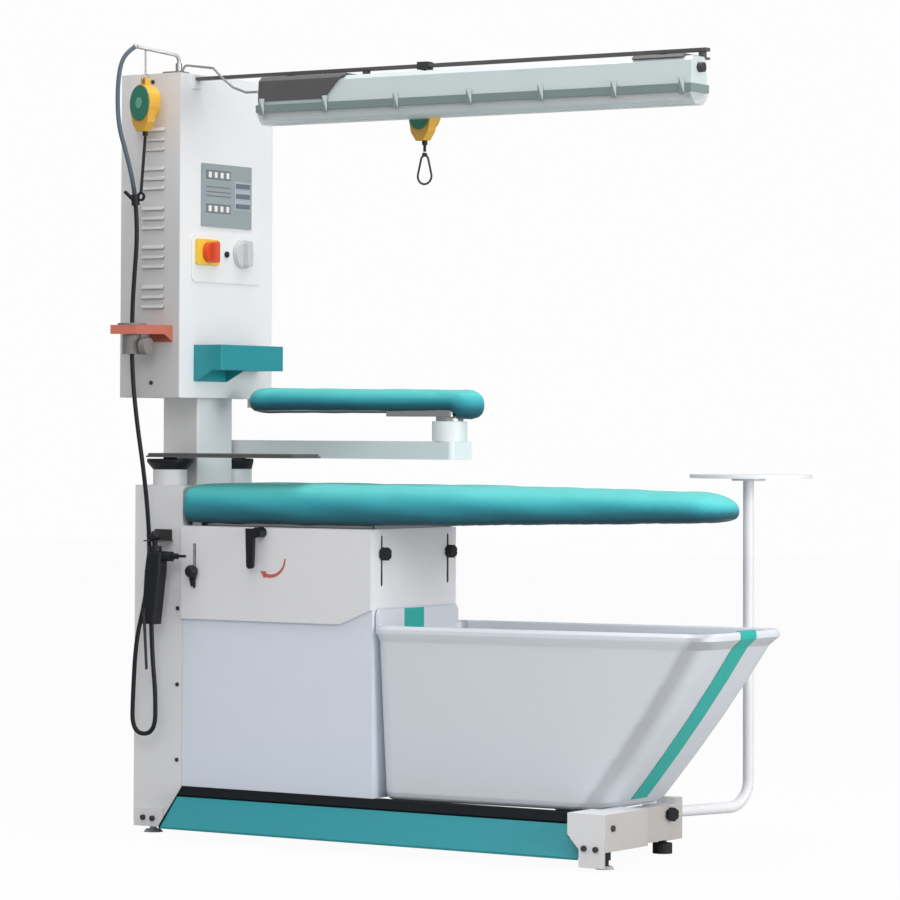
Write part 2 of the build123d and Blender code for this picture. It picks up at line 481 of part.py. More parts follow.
g2 = box(BOX_X1 - 60, BOX_X1 - 2, SEL_Y - 24, SEL_Y + 24, SEL_Z - 24, SEL_Z + 24) - cx(SEL_Y, SEL_Z, 120, 150, 5.05)
g3 = box(BOX_X1 - 9, BOX_X1 - 7, 80, 262, 1494, 1620) + box(BOX_X1 - 7, BOX_X1 - 4.2, 206, 260, 1529, 1592)
g3 += box(BOX_X1 - 20, BOX_X1 - 9, 90, 150, 1600, 1616) + box(BOX_X1 - 18, BOX_X1 - 9, 100, 140, 1530, 1560)
g3 += box(BOX_X1 - 9, BOX_X1 - 2, 82, 90, 1484, 1500) + box(BOX_X1 - 9, BOX_X1 - 2, 240, 248, 1614, 1632)
g4 = box(BOX_X0 + 20, BOX_X1 - 30, 330, 333, 1100, 1800) + box(0, 20, 333, 366.8, 1400, 1500)
g4 += box(0, 45, 270, 330, 1600, 1680) + box(60, 105, 275, 330, 1600, 1680) + box(-5, 110, 300, 330, 1480, 1560)
g4 += box(10, 60, 280, 330, 1160, 1210) + cz(35, 305, 1210, 1260, 22) + cz(35, 305, 1145, 1160, 10)
out("control_gear", g1, g2, g3, g4)

tray = box(148, 231, 35, 300, 1128, 1189) - box(151, 228, 38, 297, 1131, 1195)
tray = fillet(tray.edges().filter_by(Axis.Z).filter_by(lambda e: abs(e.center().X - 231) < 0.1), 2.5)
tray += prism_y([(148, 1128), (205, 1128), (152, 1100), (148, 1100)], 35, 38) + prism_y([(148, 1128), (205, 1128), (152, 1100), (148, 1100)], 167, 170) + box(148, 150, 35, 170, 1100, 1128)
out("side_tray", tray)

# ---------------------------------------------------------------- hose guide
og = box(60, 129, BOX_Y0 - 3, BOX_Y0, 1195, 1235)
og += prism_z([(129, BOX_Y0 - 1), (60, BOX_Y0 - 1), (14, -68), (2, -96), (18, -130), (74, -104), (129, -60)], 1232, 1235)
og += prism_z([(129, -60), (74, -104), (18, -130), (18, -127), (74, -101), (126, -59.5)], 1213, 1235)
og += prism_x([(BOX_Y0 - 2, 1234), (BOX_Y0 - 2, 1197), (-60, 1213), (-60, 1234)], 126, 129)
og -= cz(GX, GY, 1200, 1240, 13.0)
out("hose_guide_bracket", og)
gk = cx(GY, 1184, 79, 97, 20.5) - cx(GY, 1184, 70, 91, 4.06) + cx(GY, 1184, 74, 79, 11) - cx(GY, 1184, 70, 80, 4.06)
out("guide_knob", gk)

# ---------------------------------------------------------------- top arm and left balancer
tpath = FilletPolyline((128, -6, BOX_Z1 + 4), (128, -6, 1893), (66, -100, 1911), radius=16)
tarm = sweep(Plane(tpath @ 0, z_dir=tpath % 0) * Circle(4.5), path=tpath)
tarm += box(92, 142, -24, 18, BOX_Z1, BOX_Z1 + 4) + cz(128, -6, BOX_Z1 + 4, BOX_Z1 + 24, 8)
LBX, LBY, LBZ, LB_ANG = 77.5, -73.5, 1770.0, -22.0
EYE, RING = 57.0, 10.5               # eye of a load balancer above its centre, radius of its ring
ring_dz = EYE + RING - 2.8
tarm += cz(LBX, LBY, LBZ + ring_dz + RING - 0.5, 1906, 2.5)
tarm += turned(Pos(LBX, LBY, LBZ + ring_dz) * Rot(0, 90, 0) * Torus(RING, 2.0), LBX, LBY, LB_ANG)
tarm += Pos(66, -100, 1911) * Sphere(7)
tarm -= Plane(origin=(66, -100, 1911), z_dir=(-21, -12, -16)) * Pos(0, 0, 10) * Cylinder(5.8, 20)
out("balancer_arm", tarm)


def balancer(x, y, z, angle):
    """Flat round load balancer: drum, neck with an eye, tapered outlet and a boss on its face."""
    b = cy(x, z + 4, y - 16, y + 16, 45)
    b += prism_y([(x - 14, z + 38), (x - 9, z + 66), (x + 9, z + 66), (x + 14, z + 38)], y - 7, y + 7)
    b += prism_y([(x - 42, z - 14), (x - 34, z - 44), (x - 14, z - 65), (x + 14, z - 65), (x + 34, z - 44), (x + 42, z - 14)], y - 16, y + 6)
    b -= cy(x, z + EYE, y - 20, y + 20, 5.5)
    b += cy(x, z + 4, y - 18.5, y - 16, 43) + cy(x, z + 4, y - 20, y - 18.5, 14)
    b += cz(x, y, z - 75, z - 63, 6.5)
    b -= cz(x, y, z - 77, z - 57, 4.4)
    return turned(b, x, y, angle)


out("balancer_left", balancer(LBX, LBY, LBZ, LB_ANG))

# ---------------------------------------------------------------- rail, lamp
rail = box(BOX_X1 + 6, 1560, RAIL_Y - 10, RAIL_Y + 10, RAIL_Z0, RAIL_Z1)
rail += box(BOX_X1, BOX_X1 + 6, RAIL_Y - 16, RAIL_Y + 16, RAIL_Z0 - 20, RAIL_Z1 + 6)
LH = 38.0
y0, y1 = LAMP_Y - LH, LAMP_Y + LH
seam = 1744.0
SZ = LAMP_Z1 + 5.5
hood = [(RAIL_Y + 10, SZ), (y0 + 12, SZ), (y0 - 1, LAMP_Z1 - 5), (y0 - 4, seam + 18), (y0 - 1, seam + 18), (y0 + 2, LAMP_Z1 - 8), (y0 + 13, LAMP_Z1 + 0.6), (RAIL_Y + 10, LAMP_Z1 + 0.6)]
saddle = [(RAIL_Y + 10, SZ), (y0 + 12, SZ), (y0 + 4, LAMP_Z1 - 2), (y0 + 7, LAMP_Z1 - 3.5), (y0 + 13.5, LAMP_Z1 + 0.6), (RAIL_Y + 10, LAMP_Z1 + 0.6)]
rail += prism_x(hood, 420, 660) - prism_y([(590, 1740), (720, 1740), (720, 1813), (654, 1813)], y0 - 10, y0 + 9)
rail += prism_x(saddle, 1430, 1560)
for x in (424, 640, 1438, 1540):                        # hangers between the rail and the lamp's roof plates
    rail += box(x, x + 12, RAIL_Y - 8, RAIL_Y + 8, SZ, RAIL_Z0)
out("boom_rail", rail)
tray_pts = [(y0, seam + 9), (y0 + 4, LAMP_Z1 - 10), (y0 + 14, LAMP_Z1), (y1 - 14, LAMP_Z1), (y1 - 4, LAMP_Z1 - 10), (y1, seam + 9)]
lt = prism_x(tray_pts, LAMP_X0 + 3, LAMP_X1 - 3)
ins = [(y0 + 2.5, seam), (y0 + 6.5, LAMP_Z1 - 11.5), (y0 + 15.5, LAMP_Z1 - 2.5), (y1 - 15.5, LAMP_Z1 - 2.5), (y1 - 6.5, LAMP_Z1 - 11.5), (y1 - 2.5, seam)]
lt -= prism_x(ins, LAMP_X0 + 6, LAMP_X1 - 6)
lt -= cx(LAMP_Y, 1790, LAMP_X0 - 5, LAMP_X0 + 20, 7) + cx(LAMP_Y, 1790, LAMP_X1 - 20, LAMP_X1 + 5, 7)
out("lamp_upper_tray", lt)
dif_pts = [(y0 - 2, seam - 9), (y0, seam - 16), (y0 + 10, LAMP_Z0 + 7), (y0 + 20, LAMP_Z0), (y1 - 20, LAMP_Z0), (y1 - 10, LAMP_Z0 + 7), (y1, seam - 16), (y1 + 2, seam - 9)]
df = prism_x(dif_pts, LAMP_X0 + 2, LAMP_X1 - 2)
dfi = [(y0 + 0.5, seam - 8), (y0 + 2.5, seam - 16), (y0 + 12, LAMP_Z0 + 9), (y0 + 21, LAMP_Z0 + 2.5), (y1 - 21, LAMP_Z0 + 2.5), (y1 - 12, LAMP_Z0 + 9), (y1 - 2.5, seam - 16), (y1 - 0.5, seam - 8)]
df -= prism_x(dfi, LAMP_X0 + 5, LAMP_X1 - 5)
out("lamp_diffuser", df)
tubes = []
for y in (LAMP_Y - 16, LAMP_Y + 16):
    tubes.append(cx(y, 1727, LAMP_X0 + 22, LAMP_X1 - 22, 11) + cx(y, 1727, LAMP_X0 + 14, LAMP_X0 + 22, 3) + cx(y, 1727, LAMP_X1 - 22, LAMP_X1 - 14, 3))
out("lamp_tubes", *tubes)
fit = [box(LAMP_X0, LAMP_X1, y0 - 4, y1 + 4, seam - 9, seam + 9) - box(LAMP_X0 + 7, LAMP_X1 - 7, y0 + 2.5, y1 - 2.5, seam - 10, seam + 10)]
fit[0] += box(LAMP_X0 + 40, LAMP_X1 - 40, y0 + 2, y1 - 2, seam, seam + 3)
for x in (LAMP_X0 + 14, LAMP_X1 - 14):
    fit[0] += box(min(x, x + 6) - 3, x + 3, LAMP_Y - 28, LAMP_Y + 28, seam - 24, seam + 3) - box(x - 6, x + 6, LAMP_Y - 28, LAMP_Y + 28, seam - 30, seam - 28)
    fit[0] += box(x - 8, x + 8, y0 + 2, y1 - 2, seam, seam + 3)
for t in tubes:
    fit[0] -= t
for x in (432, 612, 810, 1010, 1200, 1390, 1562):
    for yo, sgn in ((y0 - 4, -1), (y1 + 4, 1)):
        fit[0] += box(x - 7, x + 7, min(yo, yo + sgn * 2.5), max(yo, yo + sgn * 2.5), seam - 15, seam + 24)
fit.append(cx(LAMP_Y, 1790, LAMP_X1 - 8, LAMP_X1 + 2, 6.9) + cx(LAMP_Y, 1790, LAMP_X1 - 2.9, LAMP_X1 + 10, 11))
lc = FilletPolyline((100, 50, BOX_Z1 + 0.1), (100, 50, 1876), (205, 30, 1862), (250, 4, 1834), (304, -26, 1806), (356, LAMP_Y, 1790), (LAMP_X0 - 6, LAMP_Y, 1790), radius=14)
lead = sweep(Plane(lc @ 0, z_dir=lc % 0) * Circle(3.0), path=lc)
fit.append(cx(LAMP_Y, 1790, LAMP_X0 - 8, LAMP_X0 + 8, 6.9) + cx(LAMP_Y, 1790, LAMP_X0 - 22, LAMP_X0 - 8, 5) + lead)
out("lamp_fittings", *fit)

# trolley and second balancer, with the snap hook under it
TZ = 1727.0
bal = balancer(TROLLEY_X, RAIL_Y, TZ, -22)
tro = box(TROLLEY_X - 14, TROLLEY_X + 14, RAIL_Y - 14, RAIL_Y + 14, RAIL_Z0 - 5, RAIL_Z1 + 5) - box(TROLLEY_X - 20, TROLLEY_X + 20, RAIL_Y - 10.4, RAIL_Y + 10.4, RAIL_Z0 - 0.4, RAIL_Z1 + 0.4)
tro += cz(TROLLEY_X, RAIL_Y, TZ + ring_dz + RING - 0.5, RAIL_Z0 - 4, 3)
tro += Pos(TROLLEY_X, RAIL_Y, TZ + ring_dz) * Rot(0, 90, 0) * Torus(RING, 2.0)
wire = cz(TROLLEY_X, RAIL_Y, 1636, TZ - 59, 3.6)
out("balancer_right", bal, tro, wire)
HX, HZ = TROLLEY_X, 1634.0
R1, R2, C1, C2 = 10.0, 19.0, HZ - 17.0, HZ - 55.0
ta = math.asin((R2 - R1) / (C1 - C2))
ca, sa = math.cos(ta), math.sin(ta)
tl1, tr1 = (HX - R1 * ca, RAIL_Y, C1 + R1 * sa), (HX + R1 * ca, RAIL_Y, C1 + R1 * sa)
tl2, tr2 = (HX - R2 * ca, RAIL_Y, C2 + R2 * sa), (HX + R2 * ca, RAIL_Y, C2 + R2 * sa)
hp = Wire([ThreePointArc(tl1, (HX, RAIL_Y, C1 + R1), tr1), Line(tr1, tr2), ThreePointArc(tr2, (HX, RAIL_Y, C2 - R2), tl2), Line(tl2, tl1)])
hookw = sweep(Plane(hp @ 0, z_dir=hp % 0) * Circle(2.5), path=hp)
hookw += cy(HX, HZ - 4.5, RAIL_Y - 5, RAIL_Y + 5, 4.5)
out("snap_hook", hookw)

# ---------------------------------------------------------------- iron rest
rp = slab(33, 492, -20, 98, 915, 919, 26) + cz(REST_PX, REST_PY, 911.3, 915, 17) + cz(REST_PX, REST_PY, 856, 912, 10.0)
out("iron_rest_plate", rp)
mat_ = slab(38, 487, -15, 93, 919, 925, 21)
mat_ = fillet(mat_.faces().sort_by(Axis.Z)[-1].edges(), 2.0)
out("iron_rest_mat", mat_)

# ---------------------------------------------------------------- sleeve arm and sleeve board
AL = 764.0
armb = slab(ARM_PX - 40, ARM_PX + AL, ARM_PY - 40, ARM_PY + 40, 914, 957, 12) - slab(ARM_PX - 37, ARM_PX + AL - 3, ARM_PY - 37, ARM_PY + 37, 917, 954, 10)
armb += ring_z(ARM_PX, ARM_PY, 856, 914, 28.0, 25)
armb += ring_z(ARM_PX, ARM_PY, 911.3, 914, 38, 25)
armb -= cz(ARM_PX, ARM_PY, 900, 918, 25)
SL = math.hypot(SLEEVE_PX - ARM_PX, SLEEVE_PY - ARM_PY)
armb += ring_z(ARM_PX + SL, ARM_PY, 957, 1005, 42, 20.05)
armb -= cz(ARM_PX + SL, ARM_PY, 950, 960, 18)
arm = turned(armb, ARM_PX, ARM_PY, math.degrees(math.atan2(SLEEVE_PY - ARM_PY, SLEEVE_PX - ARM_PX)))
out("sleeve_arm", arm)
spl = slab(623, 812, 158, 232, 1016, 1028, 10) - cz(SLEEVE_PX, SLEEVE_PY, 1010, 1040, 16)
spl += ring_z(SLEEVE_PX, SLEEVE_PY, 1005.3, 1016, 33, 16) + ring_z(SLEEVE_PX, SLEEVE_PY, 965, 1016, 20.0, 16)
spl += slab(226, 858, 163, 227, 1028, 1033, 30) - cz(SLEEVE_PX, SLEEVE_PY, 1010, 1040, 16)
out("sleeve_board_plate", spl)
sp_ = slab(208, 876, 147, 243, 1028, 1076, 47.5)
sp_ = fillet(sp_.faces().sort_by(Axis.Z)[-1].edges(), 16)
sp_ = fillet(sp_.faces().sort_by(Axis.Z)[0].edges(), 8)
tail = slab(815, 876, 149, 241, 1014, 1052, 30)
tail = fillet(tail.faces().sort_by(Axis.Z)[0].edges(), 10)
sp_ += tail
sp_ -= slab(225, 859, 162, 228, 1019, 1033.8, 31)
out("sleeve_pad", sp_)

# ---------------------------------------------------------------- bent stand with round plate
spath = FilletPolyline((0, -76, 0), (0, slen, 0), (0, slen, 778), radius=62)
st = sweep(Plane(spath @ 0, z_dir=spath % 0) * Circle(13.0), path=spath)
st = along_stand(st)
st += cz(STAND_POST[0], STAND_POST[1], 867, 873, 40) + cz(STAND_POST[0] + 6, STAND_POST[1], 873, 882, 145)
out("side_stand", st)
sk = Pos(0, KNOB_S, 0) * (cx(0, 0, 13.4, 44, 4.0) + knob_x(0, 0, 42, 53, 16))
out("stand_knob", along_stand(sk))

# ---------------------------------------------------------------- steam gun on its hook
GX2 = 98.0
gun = prism_y([(70, 512), (108, 512), (124, 640), (126, 688), (85, 688), (78, 640)], GUN_Y - 19, GUN_Y + 19)
gun = fillet(gun.edges().filter_by(lambda e: abs(e.center().Y - GUN_Y) > 18), 8)
gun += cz(GX2, GUN_Y, 687, 700, 17) + cz(GX2, GUN_Y, 699, 716, 7.0) + Pos(GX2, GUN_Y, 724.5) * Sphere(13) & box(0, 300, -200, 0, 400, 738)
gun -= ring_z(GX2, GUN_Y, 711, 715, 40, 7.0) & box(0, 300, -200, 0, 711, 715)
gun += cx(GUN_Y, 676, 118, 150, 12) + cx(GUN_Y, 677, 150, 166, 7) + cx(GUN_Y, 677.5, 166, 189, 3.5)
gun -= box(72, 88, -75, GUN_Y - 16.4, 505, 560)
gun += cy(80, 545, -73, -66, 3)
out("gun_body", gun)
trg = prism_y([(76, 548), (84, 548), (92, 404), (86, 402)], -72.4, -69.4)
trg += cy(80, 545, -72.4, -69.4, 6.5)
trg -= cy(80, 545, -80, -60, 3.05)
out("gun_trigger", trg)

# ---------------------------------------------------------------- steam hose and its clamp
HOSE = [(66, -100, 1911), (45, -112, 1895), (28, -114, 1858), (20, -111, 1790), (26, -112, 1715), (50, -112, 1650), (76, -112, 1560), (80, -106, 1450),
        (62, -94, 1350), (46, -80, 1262), (46, -80, 1135), (58, -77, 1010), (74, -66, 880), (70, -40, 760), (58, -18, 655), (46, -22, 560),
        (34, -40, 470), (29, -44, 345), (28, -46, 246), (101, -51, 246), (103, -52, 342), (92, -52, 436), (89, -52, 511.6)]
radii = []
for i in range(1, len(HOSE) - 1):
    a, b, c = (Vector(*HOSE[i - 1]), Vector(*HOSE[i]), Vector(*HOSE[i + 1]))
    u, w = b - a, c - b
    turn = math.radians(u.get_angle(w))
    radii.append(0.45 * min(u.length, w.length) / math.tan(turn / 2))
print("hose radii", [round(r) for r in radii])
hose_path = FilletPolyline(*HOSE, radius=radii)
hose = sweep(Plane(hose_path @ 0, z_dir=hose_path % 0) * Circle(HOSE_D / 2), path=hose_path)
print("hose length", round(hose_path.length), "volume ratio", round(hose.volume / (math.pi * HOSE_D ** 2 / 4 * hose_path.length), 4))
out("steam_hose", hose)
# clamp on the hose where the left balancer's line is made fast
best = min((abs(hose_path.position_at(t / 400).Z - 1536), t / 400) for t in range(60, 200))[1]
cp, ct = hose_path.position_at(best), hose_path.tangent_at(best)
hc = Plane(origin=cp, z_dir=ct) * (Cylinder(10, 26) - Cylinder(6.3, 40))
hc += Pos(cp.X + 17, cp.Y, cp.Z + 8) * Rot(90, 0, 0) * (Cylinder(11, 6) - Cylinder(6.5, 10))
hc += Pos(cp.X - 20, cp.Y, cp.Z + 12) * Rot(0, -50, 0) * Box(6, 8, 30)
hc -= Plane(origin=cp, z_dir=ct) * Cylinder(6.3, 60)
lp0, lp1 = Vector(cp.X + 17, cp.Y, cp.Z + 18), Vector(LBX, LBY, LBZ - 76.5)
lv = lp1 - lp0
hc += Plane(origin=lp0, z_dir=lv.normalized()) * Pos(0, 0, lv.length / 2) * Cylinder(3.8, lv.length - 0.6)
out("hose_clamp", hc)
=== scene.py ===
import math

import bmesh
import bpy
import numpy as np
from mathutils import Matrix, Vector


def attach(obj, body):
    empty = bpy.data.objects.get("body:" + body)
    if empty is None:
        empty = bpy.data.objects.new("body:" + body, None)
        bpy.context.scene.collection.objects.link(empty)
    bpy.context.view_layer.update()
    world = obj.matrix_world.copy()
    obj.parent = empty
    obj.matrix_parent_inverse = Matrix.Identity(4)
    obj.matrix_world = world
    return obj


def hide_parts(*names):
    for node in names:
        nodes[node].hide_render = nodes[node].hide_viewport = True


# Looks for the vacuum ironing table. The CAD frame is fixed; this adds finishes, padded covers,
# the steam hose, the readouts and the turn arrow. Row frame, metres.

SX, SY = 783.0, 316.9


def P(x, y, z):
    """Machine frame in millimetres to the row frame in metres."""
    return Vector(((x - SX) / 1000, (y - SY) / 1000, z / 1000))


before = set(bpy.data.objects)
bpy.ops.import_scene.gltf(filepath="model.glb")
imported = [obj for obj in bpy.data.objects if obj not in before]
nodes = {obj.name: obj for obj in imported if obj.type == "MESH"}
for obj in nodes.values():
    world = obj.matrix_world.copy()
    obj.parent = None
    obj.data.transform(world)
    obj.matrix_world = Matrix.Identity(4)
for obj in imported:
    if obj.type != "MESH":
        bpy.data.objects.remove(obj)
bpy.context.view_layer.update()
scene = bpy.context.scene


# ---------------------------------------------------------------- materials
def new_mat(name):
    m = bpy.data.materials.new(name)
    m.use_nodes = True
    nt = m.node_tree
    nt.nodes.clear()
    out = nt.nodes.new("ShaderNodeOutputMaterial")
    bs = nt.nodes.new("ShaderNodeBsdfPrincipled")
    nt.links.new(bs.outputs[0], out.inputs[0])
    return m, nt, bs, out


def shade(c, f):
    return tuple(max(0.0, min(1.0, v * f)) for v in c[:3]) + (1,)


def stop_list(cr, stops):
    """Fill a colour ramp with (position, colour or grey factor) stops."""
    el = cr.color_ramp.elements
    while len(el) > 1:
        el.remove(el[-1])
    for i, (pos, c) in enumerate(stops):
        e = el[0] if i == 0 else el.new(pos)
        e.position = pos
        e.color = (c, c, c, 1) if isinstance(c, (int, float)) else (*c, 1)


def surface(name, color, rough=0.45, metal=0.0, spread=0.05, scale=14.0, bump=0.02, grain=220.0, edge=0.0012, coat=0.0, sheen=0.0, stretch=None, spec=0.5, height=None, shade_by_normal_x=None):
    """Painted, moulded or plated surface: slow tone drift, a fine grain and softly rounded edges. An optional ramp by
    height or by the normal's X multiplies the colour; on the trough and the front cover it is painted shade, and on
    the hose it darkens the lower run.
    """
    m, nt, bs, out = new_mat(name)
    N, L = nt.nodes, nt.links
    tc = N.new("ShaderNodeTexCoord")
    src = tc.outputs["Object"]
    if stretch:
        mp = N.new("ShaderNodeMapping")
        mp.inputs["Scale"].default_value = stretch
        L.new(src, mp.inputs[0])
        grain_src = mp.outputs[0]
    else:
        grain_src = src
    drift = N.new("ShaderNodeTexNoise")
    drift.inputs["Scale"].default_value = scale
    drift.inputs["Detail"].default_value = 3
    L.new(src, drift.inputs["Vector"])
    ramp = N.new("ShaderNodeMixRGB")
    ramp.inputs[1].default_value = shade(color, 1 - spread)
    ramp.inputs[2].default_value = shade(color, 1 + spread)
    L.new(drift.outputs[0], ramp.inputs[0])
    colour = ramp.outputs[0]
    if height or shade_by_normal_x:
        if height:
            lo, hi, stops = height
            sp_ = N.new("ShaderNodeSeparateXYZ")
            L.new(src, sp_.inputs[0])
            value = sp_.outputs["Z"]
        else:
            lo, hi, stops = -1, 1, shade_by_normal_x
            ge = N.new("ShaderNodeNewGeometry")
            sp_ = N.new("ShaderNodeSeparateXYZ")
            L.new(ge.outputs["Normal"], sp_.inputs[0])
            value = sp_.outputs["X"]
        ma = N.new("ShaderNodeMapRange")
        ma.inputs["From Min"].default_value = lo
        ma.inputs["From Max"].default_value = hi
        L.new(value, ma.inputs["Value"])
        cr = N.new("ShaderNodeValToRGB")
        stop_list(cr, stops)
        L.new(ma.outputs[0], cr.inputs[0])
        mu = N.new("ShaderNodeMixRGB")
        mu.blend_type = "MULTIPLY"
        mu.inputs[0].default_value = 1.0
        L.new(colour, mu.inputs[1])
        L.new(cr.outputs[0], mu.inputs[2])
        colour = mu.outputs[0]
    L.new(colour, bs.inputs["Base Color"])
    fine = N.new("ShaderNodeTexNoise")
    fine.inputs["Scale"].default_value = grain
    fine.inputs["Detail"].default_value = 2
    L.new(grain_src, fine.inputs["Vector"])
    rr = N.new("ShaderNodeMapRange")
    rr.inputs["To Min"].default_value = max(0.02, rough - 0.06)
    rr.inputs["To Max"].default_value = min(1.0, rough + 0.06)
    L.new(fine.outputs[0], rr.inputs["Value"])
    L.new(rr.outputs[0], bs.inputs["Roughness"])
    bp = N.new("ShaderNodeBump")
    bp.inputs["Strength"].default_value = bump
    bp.inputs["Distance"].default_value = 0.0006
    L.new(fine.outputs[0], bp.inputs["Height"])
    if edge:
        bv = N.new("ShaderNodeBevel")
        bv.samples = 4
        bv.inputs["Radius"].default_value = edge
        L.new(bv.outputs[0], bp.inputs["Normal"])
    L.new(bp.outputs[0], bs.inputs["Normal"])
    bs.inputs["Metallic"].default_value = metal
    bs.inputs["Coat Weight"].default_value = coat
    bs.inputs["Coat Roughness"].default_value = 0.12
    bs.inputs["Specular IOR Level"].default_value = spec
    return m


def woven(name, shade_by_normal_z):
    """Stretch cloth: a fine weave, small tone drift, a soft sheen, and a colour ramp by the normal's height that
    paints shade: dark on the underside, light on top.
    """
    m, nt, bs, out = new_mat(name)
    N, L = nt.nodes, nt.links
    tc = N.new("ShaderNodeTexCoord")
    waves = []
    for axis in ("X", "Y"):
        w = N.new("ShaderNodeTexWave")
        w.wave_type = "BANDS"
        w.bands_direction = axis
        w.inputs["Scale"].default_value = 380
        w.inputs["Distortion"].default_value = 0.6
        w.inputs["Detail"].default_value = 1
        L.new(tc.outputs["Object"], w.inputs["Vector"])
        waves.append(w)
    mx = N.new("ShaderNodeMath")
    mx.operation = "MAXIMUM"
    L.new(waves[0].outputs["Fac"], mx.inputs[0])
    L.new(waves[1].outputs["Fac"], mx.inputs[1])
    drift = N.new("ShaderNodeTexNoise")
    drift.inputs["Scale"].default_value = 9
    drift.inputs["Detail"].default_value = 4
    L.new(tc.outputs["Object"], drift.inputs["Vector"])
    ge = N.new("ShaderNodeNewGeometry")
    sz = N.new("ShaderNodeSeparateXYZ")
    L.new(ge.outputs["Normal"], sz.inputs[0])
    nz = N.new("ShaderNodeMapRange")
    nz.inputs["From Min"].default_value = -1
    nz.inputs["From Max"].default_value = 1
    L.new(sz.outputs["Z"], nz.inputs["Value"])
    cr = N.new("ShaderNodeValToRGB")
    stop_list(cr, shade_by_normal_z)
    L.new(nz.outputs[0], cr.inputs[0])
    weave = N.new("ShaderNodeMapRange")
    weave.inputs["To Min"].default_value = 0.80
    weave.inputs["To Max"].default_value = 1.06
    add = N.new("ShaderNodeMath")
    add.operation = "MULTIPLY_ADD"
    add.inputs[1].default_value = 0.35
    L.new(mx.outputs[0], add.inputs[0])
    L.new(drift.outputs[0], add.inputs[2])
    L.new(add.outputs[0], weave.inputs["Value"])
    mix = N.new("ShaderNodeMixRGB")
    mix.blend_type = "MULTIPLY"
    mix.inputs[0].default_value = 1.0
    L.new(cr.outputs[0], mix.inputs[1])
    L.new(weave.outputs[0], mix.inputs[2])
    L.new(mix.outputs[0], bs.inputs["Base Color"])
    bp = N.new("ShaderNodeBump")
    bp.inputs["Strength"].default_value = 0.25
    bp.inputs["Distance"].default_value = 0.0008
    L.new(mx.outputs[0], bp.inputs["Height"])
    puck = N.new("ShaderNodeTexNoise")
    puck.inputs["Scale"].default_value = 22
    puck.inputs["Detail"].default_value = 2
    L.new(tc.outputs["Object"], puck.inputs["Vector"])
    bp2 = N.new("ShaderNodeBump")
    bp2.inputs["Strength"].default_value = 0.18
    bp2.inputs["Distance"].default_value = 0.004
    L.new(puck.outputs[0], bp2.inputs["Height"])
    L.new(bp.outputs[0], bp2.inputs["Normal"])
    L.new(bp2.outputs[0], bs.inputs["Normal"])
    bs.inputs["Roughness"].default_value = 0.72
    bs.inputs["Sheen Weight"].default_value = 0.12
    bs.inputs["Sheen Roughness"].default_value = 0.4
    return m


def clear(name, color, rough, transmission, grain=60.0, alpha=1.0):
    """Frosted clear plastic with faint moulded ribs."""
    m, nt, bs, out = new_mat(name)
    N, L = nt.nodes, nt.links
    tc = N.new("ShaderNodeTexCoord")
    w = N.new("ShaderNodeTexWave")
    w.wave_type = "BANDS"
    w.bands_direction = "Y"
    w.inputs["Scale"].default_value = grain
    L.new(tc.outputs["Object"], w.inputs["Vector"])
    bp = N.new("ShaderNodeBump")
    bp.inputs["Strength"].default_value = 0.15
    bp.inputs["Distance"].default_value = 0.001
    L.new(w.outputs["Fac"], bp.inputs["Height"])
    L.new(bp.outputs[0], bs.inputs["Normal"])
    mix = N.new("ShaderNodeMixRGB")
    mix.inputs[1].default_value = shade(color, 0.94)
    mix.inputs[2].default_value = shade(color, 1.0)
    L.new(w.outputs["Fac"], mix.inputs[0])
    L.new(mix.outputs[0], bs.inputs["Base Color"])
    bs.inputs["Roughness"].default_value = rough
    bs.inputs["Transmission Weight"].default_value = transmission
    bs.inputs["IOR"].default_value = 1.3
    bs.inputs["Alpha"].default_value = alpha
    return m


